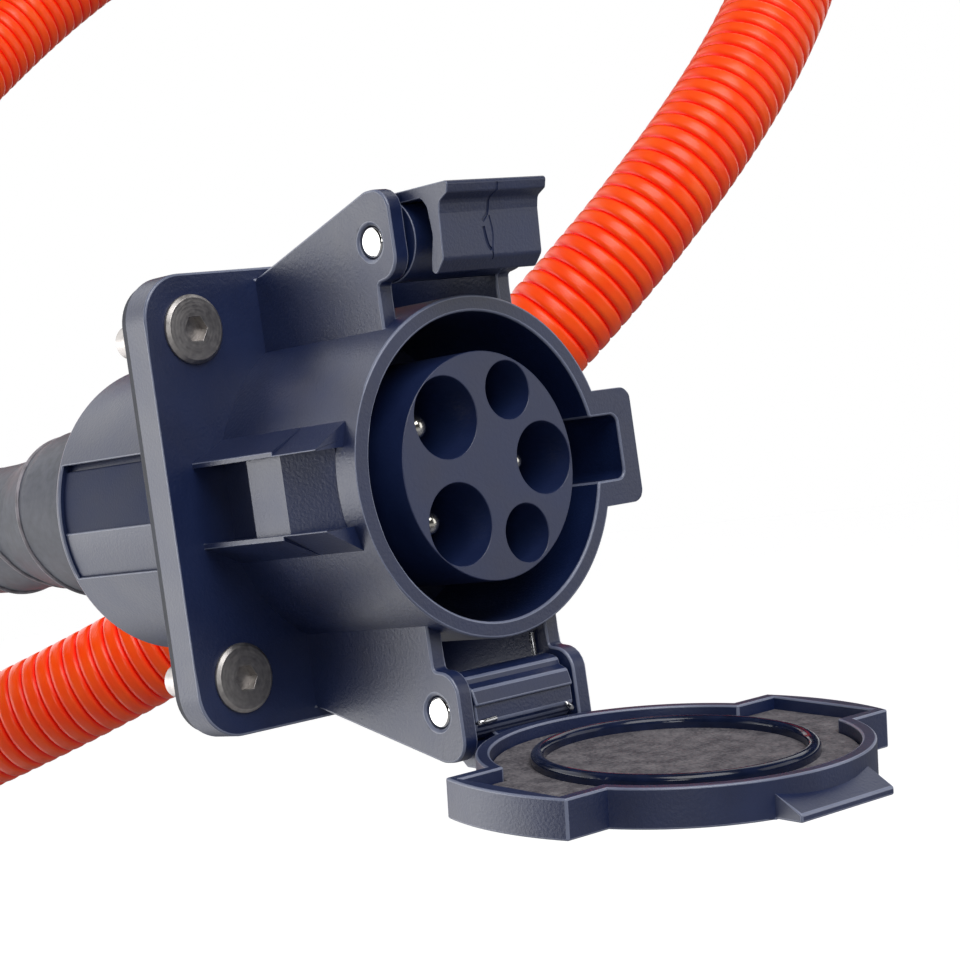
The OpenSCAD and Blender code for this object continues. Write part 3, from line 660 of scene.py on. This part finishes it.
pick(screws, "EDGE", rim_edge)
bpy.ops.mesh.bevel(offset=mm(0.75), segments=4, profile=0.5)
bpy.ops.object.mode_set(mode="OBJECT")
soften(screws, 0.08, angle=FACET)
settle(screws, "inlet", "screw_steel", screw_steel, nodes=["flange_screws"])

# %% [markdown]
# Contacts and hinge pins are turned parts. Their solids have the right shape, and a broken edge is
# all that they lack: a fine one on the contacts, a wide one on the ends of the pins.

# %% Pins and contacts
for node, name, slot, look, edge in (
        ("line_pin", "line_contact", "contact_metal", contact_silver, 0.1),
        ("neutral_pin", "neutral_contact", "contact_metal", contact_silver, 0.1),
        ("earth_pin", "earth_contact", "contact_metal", contact_silver, 0.1),
        ("pilot_pin", "pilot_contact", "contact_metal", contact_silver, 0.08),
        ("proximity_pin", "proximity_contact", "contact_metal", contact_silver, 0.08),
        ("hinge_pin", "cap_hinge_pin", "bright_steel", pin_steel, 0.55),
        ("latch_pin", "latch_hinge_pin", "bright_steel", pin_steel, 0.55)):
    piece = cad_copy(node, name)
    soften(piece, edge, angle=FACET)
    settle(piece, "inlet", slot, look, nodes=[node])

# %% [markdown]
# The rear shell is the cup behind the panel, with a recess on its left side that is rubbed dull. Its
# rear rim has the largest radius, and so the widest line of painted highlight.

# %% Rear shell
RUBBED = 2  # the third of the shell's materials
rear = cad_copy("rear_shell", "rear_cup")
soften(rear, 0.6, share=lambda at: 1.0 if at.y > mm(38.5) else 0.5 * (at.y > mm(10.5)))
settle(rear, "inlet", "black_plastic", nylon, edge_highlight_nylon, rubbed_nylon, nodes=["rear_shell"])
for face in rear.data.polygons:
    deep = math.hypot(face.center.x, face.center.z) < mm(22.6)
    if deep and face.center.x < mm(-18) and mm(-1.7) < face.center.z < mm(7.9):
        face.material_index = RUBBED
print("rubbed faces", sum(face.material_index == RUBBED for face in rear.data.polygons))

# %% [markdown]
# The boot that closes the shell is soft, and it isn't quite straight: its middle stands up to a
# millimetre above the axis, and dips a third of one below it on the sleeve. It is rounded first,
# then cut finer, so that it can bend.

# %% Boot
BOOT_START = mm(39.3)  # the boot's part inside the shell ends here and stays straight
# Place along the axis, and height of the middle above it, in millimetres
SAG = ((39, 0.3), (50, 0.9), (66, 1.0), (73, 0.6), (79, 0.0), (86, -0.35), (93, -0.2), (98, 0.0))


def sag(y):
    """How far the boot's middle stands above the axis at y, all in metres."""
    return mm(float(np.interp(y * 1000, *zip(*SAG))))


boot = cad_copy("cable_boot", "cable_boot_rubber")
soften(boot, 0.4, angle=FACET, last=False,
       share=lambda at: (0.4 if at.y > mm(99) else 1.0) * (at.y > mm(39.4)))
only(boot)
bpy.ops.object.mode_set(mode="EDIT")
bpy.ops.mesh.select_all(action="SELECT")
bpy.ops.mesh.subdivide(number_cuts=3)
bpy.ops.object.mode_set(mode="OBJECT")
for corner in boot.data.vertices:
    if corner.co.y > BOOT_START:
        corner.co.z += sag(corner.co.y)
even(boot)
settle(boot, "inlet", "black_rubber", boot_rubber, nodes=["cable_boot"])

# %% [markdown]
# The boot is wound from a strip of soft rubber, and the strip's edges stand up as thin oblique
# lines. Each is a slim tube on the boot's skin, all in a pale rubber that is a painted highlight.
# One goes all the way round, and the other two are thinned to nothing at their ends.

# %% Edges on the boot
WINDING_R, WINDING_STEPS = mm(0.34), 97
# Place along the axis and radius of the skin, in millimetres
BOOT_SKIN = ((39.2, 15.9), (43.2, 15.3), (63, 14.1), (65.9, 13.5), (70, 12.55), (73.2, 11.6), (76.1, 11.2),
             (100, 11.2))
# Turn from the top towards the left, in degrees, and place along the axis, in millimetres
WINDINGS = (
    ("boot_edge_near", False, [(t, 64.4 + 2.7 * math.cos(math.radians(t))) for t in range(0, 361, 15)]),
    ("boot_edge_middle", True, [(40, 85), (60, 83), (90, 80), (116, 76.8), (135, 75), (150, 73.5),
                                (168, 71.5), (185, 70.5)]),
    ("boot_edge_far", True, [(105, 90), (130, 87.5), (149, 86.3), (166, 86.1), (185, 85.5), (210, 84.5),
                             (235, 84)]))


def on_boot(turn, y):
    """A point just above the boot's skin."""
    r = float(np.interp(y, *zip(*BOOT_SKIN))) + 0.1
    straight = mm(-r * math.sin(math.radians(turn)), y, r * math.cos(math.radians(turn)))
    return straight + Vector((0, 0, sag(mm(y))))


for name, thinned, marks in WINDINGS:
    turns = np.linspace(marks[0][0], marks[-1][0], WINDING_STEPS)
    course = [on_boot(t, float(np.interp(t, *zip(*marks)))) for t in turns]
    thick = np.ones(WINDING_STEPS)
    if thinned:
        thick = np.clip(np.sin(np.linspace(0, math.pi, WINDING_STEPS)) ** 0.5, 0.05, 1)
    edge = tube(name, course, WINDING_R * thick, 10)
    smooth(edge, TUBE_CREASE)
    settle(edge, "inlet", "black_rubber", edge_highlight_rubber)

# %% [markdown]
# ## Cap and latch
# The cap is a shallow round lid with two lugs, a tongue for the latch and the hinge's knuckle. All
# its outer edges are rounded alike, and the radii carry the pale nylon, a painted highlight.

# %% Cap
cap = cad_copy("cap_shell", "cap_moulding")
soften(cap, 0.3)
settle(cap, "cap", "black_plastic", nylon, edge_highlight_nylon, nodes=["cap_shell"])

# %% [markdown]
# The pad in the cap is one sheet with a round rib that presses on the barrel's mouth. The rib is
# told from the sheet by its height: the level that has the largest area is the sheet's.

# %% Pad in the cap
RIB_RISE = mm(0.12)  # what stands higher than this above the sheet is the rib
pad = cad_copy("cap_pad", "cap_foam_pad")
soften(pad, 0.3, angle=FACET)
settle(pad, "cap", "cap_rubber", pad_rubber, rib_rubber, nodes=["cap_pad"])
pad_up = max(pad.data.polygons, key=lambda face: face.area).normal.copy()
pad_up *= 1 if pad_up.z > 0 else -1
heights = [pad_up.dot(face.center) for face in pad.data.polygons]
levels = {}
for face, height in zip(pad.data.polygons, heights):
    if face.normal.dot(pad_up) > 0.99:
        levels[round(height, 4)] = levels.get(round(height, 4), 0) + face.area
sheet = max(levels, key=levels.get)
for face, height in zip(pad.data.polygons, heights):
    face.material_index = int(height > sheet + RIB_RISE)
print("rib faces", sum(face.material_index for face in pad.data.polygons), "of", len(pad.data.polygons))

# %% [markdown]
# The latch is a sprung lever with a barb and a thumb lip. Two flows of hot nylon met in the middle
# of its plate and left a weld line. It is cut as a shallow groove, with three thin tubes for a
# cutter, after the edges are rounded and before the shading is made even.

# %% Latch with its weld line
# Radius of the cutter, and marks along the line, in millimetres
WELD = (
    (0.26, ((-0.05, -47.3, 39.2), (-0.05, -46.9, 38.1), (-0.2, -46.06, 37.66), (-0.3, -45.16, 36.96),
            (-0.44, -44.78, 35.33), (-1.44, -44.71, 34.12))),
    (0.28, ((-1.38, -44.66, 33.41), (-1.11, -44.57, 31.86), (-0.73, -44.49, 30.63),
            (-0.19, -44.45, 30.06))),
    (0.16, ((-0.15, -44.78, 34.9), (0.26, -44.63, 32.49), (-0.02, -44.47, 29.98), (0.1, -43.9, 28.7))))
latch = cad_copy("latch_lever", "latch_moulding")
soften(latch, 0.15, angle=FACET, last=False)
for radius, marks in WELD:
    cutter = tube("cutter", through_marks(marks, 6), mm(radius), 8)
    only(latch)
    cut = latch.modifiers.new("weld", "BOOLEAN")
    cut.object, cut.operation, cut.solver = cutter, "DIFFERENCE", "EXACT"
    bpy.ops.object.modifier_apply(modifier="weld")
    bpy.data.objects.remove(cutter)
even(latch)
# The latch's radii carry the pale nylon, a painted highlight.
settle(latch, "latch", "black_plastic", nylon, edge_highlight_nylon, nodes=["latch_lever"])

# %% [markdown]
# The cap's spring sits inside its knuckle. Outside, only the ends of its wire show: two are bent
# over on the knuckle, and the fixed leg stands between knuckle and barrel, along the right ear.

# %% Spring legs
SPRING_WIRE_R = mm(0.42)
for name, body, marks in (
        ("spring_leg_left", "cap", ((-9.3, -36.9, -35.55), (-9.1, -37.7, -35.53), (-8.6, -38.05, -35.5),
                                    (-7.4, -38.1, -35.45), (-6.3, -38.1, -35.4))),
        ("spring_leg_right", "cap", ((8.2, -36.6, -35.4), (8.3, -37.5, -35.75), (8.6, -37.75, -36.1),
                                     (9.3, -37.5, -36.55))),
        ("spring_leg_fixed", "inlet", ((9.65, -30.95, -25.3), (9.65, -30.95, -26.4), (9.65, -31, -27.5),
                                       (9.65, -31, -28.6)))):
    leg = tube(name, through_marks(marks, 8), SPRING_WIRE_R, 12)
    smooth(leg, TUBE_CREASE)
    settle(leg, body, "spring_steel", spring_steel)

# %% [markdown]
# What is left lies inside, where only a cut would show it: the springs' coils, and what holds the
# contacts from behind. These solids are shown as they are.

# %% Inner pieces
for node, look in (("hinge_spring", spring_steel), ("latch_spring", spring_steel),
                   ("contact_carrier", core_nylon), ("contact_retainer", core_nylon),
                   ("retainer_screws", screw_steel)):
    dress(node, look)

# %% [markdown]
# ## Stage
# The inlet is held by its flange, so the floor lies well below it and keeps only a faint shadow. To
# the camera, floor and room are white. Diffuse light gets a dim room, so that the lamps shape the
# object, and mirrored rays see the floor and the room bright behind the inlet and to its left.

# %% Light levels
FLOOR_WHITE, FLOOR_SHINE = 0.9, 2.1
ROOM_FILL, ROOM_SHINE = 0.28, 1.65
# Name, place and side in metres, and radiance
LAMPS = (
    ("top_back", (-0.15, 1.0, 1.05), 1.0, 0.4),
    ("back_left", (-0.945, 1.01, -0.05), 0.85, 2.5),
    ("camera_lamp", (-0.82, -0.88, 0.12), 0.3, 6.0),
    ("front_box", (0.95, -1.05, 0.25), 1.0, 1.2),
    ("top_box", (-0.1, -0.2, 1.4), 1.6, 0.1),
    ("top_front", (-0.3, -0.9, 1.0), 1.0, 5.0),
    ("right_top", (0.95, 0.12, 0.85), 0.7, 1.6),
)
print("lamps", len(LAMPS))

# %% [markdown]
# The floor is a pale grey sheet with a glow added to it. Light Path tells the rays apart: the
# camera's get an even white, and mirrored ones a brighter patch behind and to the left.

# %% Floor
FLOOR_Z, FLOOR_SIDE = -0.25, 8
bpy.ops.mesh.primitive_plane_add(size=FLOOR_SIDE, location=(0, 0, FLOOR_Z))
floor = bpy.context.object
floor.name = "floor"
floor_look, floor_tree, floor_shader = finish("floor_white", Roughness=0.8, Base_Color=linear("#8e8e90"))
floor_rays = add(floor_tree, "ShaderNodeLightPath")
floor_where = add(floor_tree, "ShaderNodeTexCoord").outputs["Object"]
floor_place = add(floor_tree, "ShaderNodeSeparateXYZ", {"Vector": floor_where})
rear_part = add(floor_tree, "ShaderNodeMapRange", {"Value": floor_place.outputs["Y"], "From Min": 0.05,
                                                   "From Max": 0.3, "To Max": FLOOR_SHINE})
left_part = add(floor_tree, "ShaderNodeMapRange", {"Value": floor_place.outputs["X"], "From Min": 0.12,
                                                   "From Max": -0.02})
patch = add(floor_tree, "ShaderNodeMath", {0: left_part.outputs["Result"], 1: rear_part.outputs["Result"]},
            operation="MULTIPLY")
shown = add(floor_tree, "ShaderNodeMath", {0: floor_rays.outputs["Is Camera Ray"], 1: FLOOR_WHITE},
            operation="MULTIPLY")
floor_level = add(floor_tree, "ShaderNodeMath", {0: floor_rays.outputs["Is Glossy Ray"],
                                                 1: patch.outputs["Value"], 2: shown.outputs["Value"]},
                  operation="MULTIPLY_ADD")
glow = add(floor_tree, "ShaderNodeEmission", {"Color": (1, 1, 1, 1),
                                              "Strength": floor_level.outputs["Value"]})
lit = add(floor_tree, "ShaderNodeAddShader", {0: floor_shader.outputs["BSDF"],
                                              1: glow.outputs["Emission"]})
floor_tree.links.new(lit.outputs["Shader"], floor_tree.nodes["Material Output"].inputs["Surface"])
floor_look.cycles.emission_sampling = "NONE"
floor.data.materials.append(floor_look)
print("floor at", FLOOR_Z)

# %% [markdown]
# The room is white to the camera and dim to diffuse rays. Mirrored rays find two bright parts in it,
# which stay where they are when the camera moves: a wall behind the inlet and to its left, and a
# low band along the horizon, on the far side from where the photograph was taken.

# %% Room
WALL_WAY = (-0.34, 0.94, 0)
BAND_WAY = tuple(-back)
world = bpy.data.worlds.new("room")
bpy.context.scene.world = world
world.use_nodes = True
world.cycles.sampling_method = "NONE"
room = world.node_tree
rays = add(room, "ShaderNodeLightPath")
way = add(room, "ShaderNodeTexCoord").outputs["Generated"]
to_wall = add(room, "ShaderNodeVectorMath", {0: way, 1: WALL_WAY}, operation="DOT_PRODUCT")
wall = add(room, "ShaderNodeMapRange", {"Value": to_wall.outputs["Value"], "From Min": 0.56,
                                        "From Max": 0.68, "To Max": ROOM_SHINE})
rise = add(room, "ShaderNodeSeparateXYZ", {"Vector": way})
low = add(room, "ShaderNodeMapRange", {"Value": rise.outputs["Z"], "From Min": 0.2, "From Max": 0.08,
                                       "To Max": ROOM_SHINE})
to_band = add(room, "ShaderNodeVectorMath", {0: way, 1: BAND_WAY}, operation="DOT_PRODUCT")
band = add(room, "ShaderNodeMath", {0: low.outputs["Result"], 1: to_band.outputs["Value"]},
           operation="MULTIPLY", use_clamp=True)
bright = add(room, "ShaderNodeMath", {0: wall.outputs["Result"], 1: band.outputs["Value"]},
             operation="MAXIMUM")
mirrored = add(room, "ShaderNodeMath", {0: rays.outputs["Is Glossy Ray"],
                                        1: rays.outputs["Is Transmission Ray"]}, operation="MAXIMUM")
fill = add(room, "ShaderNodeMath", {0: rays.outputs["Is Diffuse Ray"], 1: ROOM_FILL,
                                    2: rays.outputs["Is Camera Ray"]}, operation="MULTIPLY_ADD")
room_level = add(room, "ShaderNodeMath", {0: mirrored.outputs["Value"], 1: bright.outputs["Value"],
                                          2: fill.outputs["Value"]}, operation="MULTIPLY_ADD")
room.nodes["Background"].inputs["Color"].default_value = (1, 1, 1, 1)
room.links.new(room_level.outputs["Value"], room.nodes["Background"].inputs["Strength"])
print("room fill", ROOM_FILL)

# %% [markdown]
# The lamps are square soft boxes that face the inlet. Their power follows from side and radiance,
# so that a larger box is a softer light and no brighter to look into.

# %% Lamps


def soft_light(name, place, size, radiance):
    """A square soft box of even brightness that faces the inlet, unseen by the camera."""
    lamp = bpy.data.lights.new(name, "AREA")
    lamp.shape, lamp.size = "SQUARE", size
    lamp.energy = radiance * math.pi * size * size
    holder = bpy.data.objects.new(name, lamp)
    holder.location = place
    holder.rotation_euler = (-Vector(place)).to_track_quat("-Z", "Y").to_euler()
    holder.visible_camera = False
    bpy.context.scene.collection.objects.link(holder)


for name, place, size, radiance in LAMPS:
    soft_light(name, place, size, radiance)
bpy.context.scene.view_settings.view_transform = "Standard"
